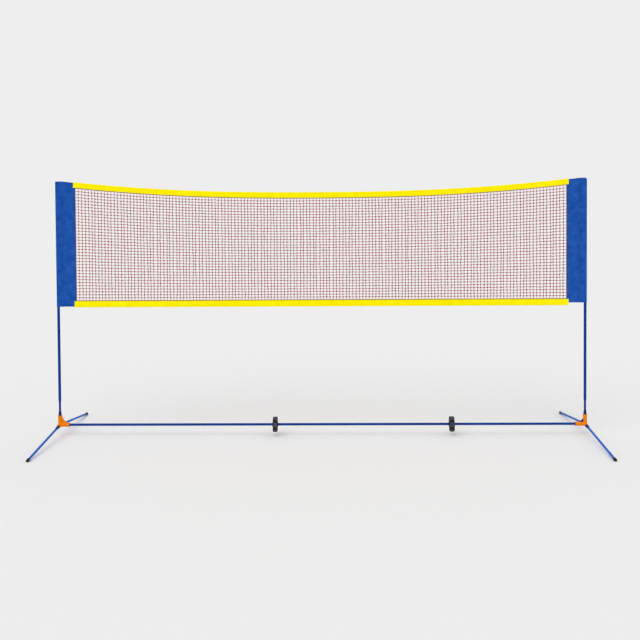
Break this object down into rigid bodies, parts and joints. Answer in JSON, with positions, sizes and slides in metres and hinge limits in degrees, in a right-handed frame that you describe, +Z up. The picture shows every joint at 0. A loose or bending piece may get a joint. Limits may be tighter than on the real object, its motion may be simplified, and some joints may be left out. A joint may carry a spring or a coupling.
{
  "type": "multisport net",
  "caption": "Free-standing multisport net: telescoping posts on plug-in legs, a floor bar with star discs, and a net with yellow tapes held by fabric sleeves.",
  "frame": {"origin": "On the floor, midway between the posts and midway between the front and back leg ends.", "axes": "+X runs along the net to its right end, +Y points to the back, +Z is up."},
  "size_m": [3.1264, 1.0314, 1.51],
  "materials": {
    "hub_moulding": "satin moulded",
    "frame_paint": "satin powder coat",
    "leg_paint": "satin powder coat",
    "ferrule_plastic": "satin",
    "black_plastic": "matt",
    "cap_rubber": "matt",
    "disc_rubber": "matt",
    "tape_fabric": "woven, folded and stitched",
    "sleeve_fabric": "woven, sewn",
    "net_cord": "knotted twine"
  },
  "bodies": {
    "frame": {"corner_wedge_right": "ferrule_plastic", "bar_tube_1": "frame_paint", "bar_tube_2": "frame_paint", "bar_tube_3": "frame_paint", "bar_tube_4": "frame_paint", "bar_joiner_1": "black_plastic", "bar_joiner_2": "black_plastic", "bar_joiner_3": "black_plastic", "hub_left": "hub_moulding", "post_lower_left": "frame_paint", "post_ferrule_left": "ferrule_plastic", "post_bush_left": "black_plastic", "hub_right": "hub_moulding", "post_lower_right": "frame_paint", "post_ferrule_right": "ferrule_plastic", "post_bush_right": "black_plastic"},
    "post_left": {"post_upper_left": "frame_paint", "post_plug_left": "black_plastic", "post_cap_left": "black_plastic"},
    "post_right": {"post_upper_right": "frame_paint", "post_plug_right": "black_plastic", "post_cap_right": "black_plastic"},
    "net_set": {"sleeve_left": "sleeve_fabric", "sleeve_right": "sleeve_fabric", "net_mesh": "net_cord", "top_tape": "tape_fabric", "bottom_tape": "tape_fabric", "head_cord": "sleeve_fabric"},
    "leg_front_left": {"leg_tube_front_left": "leg_paint", "leg_ferrule_front_left": "ferrule_plastic", "foot_cap_front_left": "cap_rubber"},
    "leg_back_left": {"leg_tube_back_left": "leg_paint", "leg_ferrule_back_left": "ferrule_plastic", "foot_cap_back_left": "cap_rubber"},
    "leg_front_right": {"leg_tube_front_right": "leg_paint", "leg_ferrule_front_right": "ferrule_plastic", "foot_cap_front_right": "cap_rubber"},
    "leg_back_right": {"leg_tube_back_right": "leg_paint", "leg_ferrule_back_right": "ferrule_plastic", "foot_cap_back_right": "cap_rubber"},
    "disc_sleeve_left": {"disc_sleeve_left": "ferrule_plastic"},
    "star_disc_left": {"star_disc_left": "disc_rubber"},
    "disc_sleeve_right": {"disc_sleeve_right": "ferrule_plastic"},
    "star_disc_right": {"star_disc_right": "disc_rubber"}
  },
  "joints": [
    {"name": "post_height_left", "type": "slide", "parent": "frame", "child": "post_left", "axis": [0, 0, 1], "range_m": [-0.55, 0]},
    {"name": "post_height_right", "type": "slide", "parent": "frame", "child": "post_right", "axis": [0, 0, 1], "range_m": [-0.55, 0]},
    {"name": "net_lift", "type": "slide", "parent": "post_left", "child": "net_set", "axis": [0, 0, 1], "range_m": [0, 0.74]},
    {"name": "leg_plug_front_left", "type": "slide", "parent": "frame", "child": "leg_front_left", "axis": [0, -0.9934, -0.115], "range_m": [0, 0.03]},
    {"name": "leg_plug_back_left", "type": "slide", "parent": "frame", "child": "leg_back_left", "axis": [0, 0.9934, -0.115], "range_m": [0, 0.03]},
    {"name": "leg_plug_front_right", "type": "slide", "parent": "frame", "child": "leg_front_right", "axis": [0, -0.9934, -0.115], "range_m": [0, 0.03]},
    {"name": "leg_plug_back_right", "type": "slide", "parent": "frame", "child": "leg_back_right", "axis": [0, 0.9934, -0.115], "range_m": [0, 0.03]},
    {"name": "disc_travel_left", "type": "slide", "parent": "frame", "child": "disc_sleeve_left", "axis": [1, 0, 0], "range_m": [-1.15, 0.25]},
    {"name": "disc_spin_left", "type": "hinge", "parent": "disc_sleeve_left", "child": "star_disc_left", "pos_m": [-0.271, 0, 0.067], "axis": [1, 0, 0], "continuous": true},
    {"name": "disc_travel_right", "type": "slide", "parent": "frame", "child": "disc_sleeve_right", "axis": [1, 0, 0], "range_m": [-0.72, 0.67]},
    {"name": "disc_spin_right", "type": "hinge", "parent": "disc_sleeve_right", "child": "star_disc_right", "pos_m": [0.77, 0, 0.067], "axis": [1, 0, 0], "continuous": true}
  ],
  "couplings": [
    {"joint": "post_height_right", "follows": "post_height_left", "ratio": 1}
  ]
}
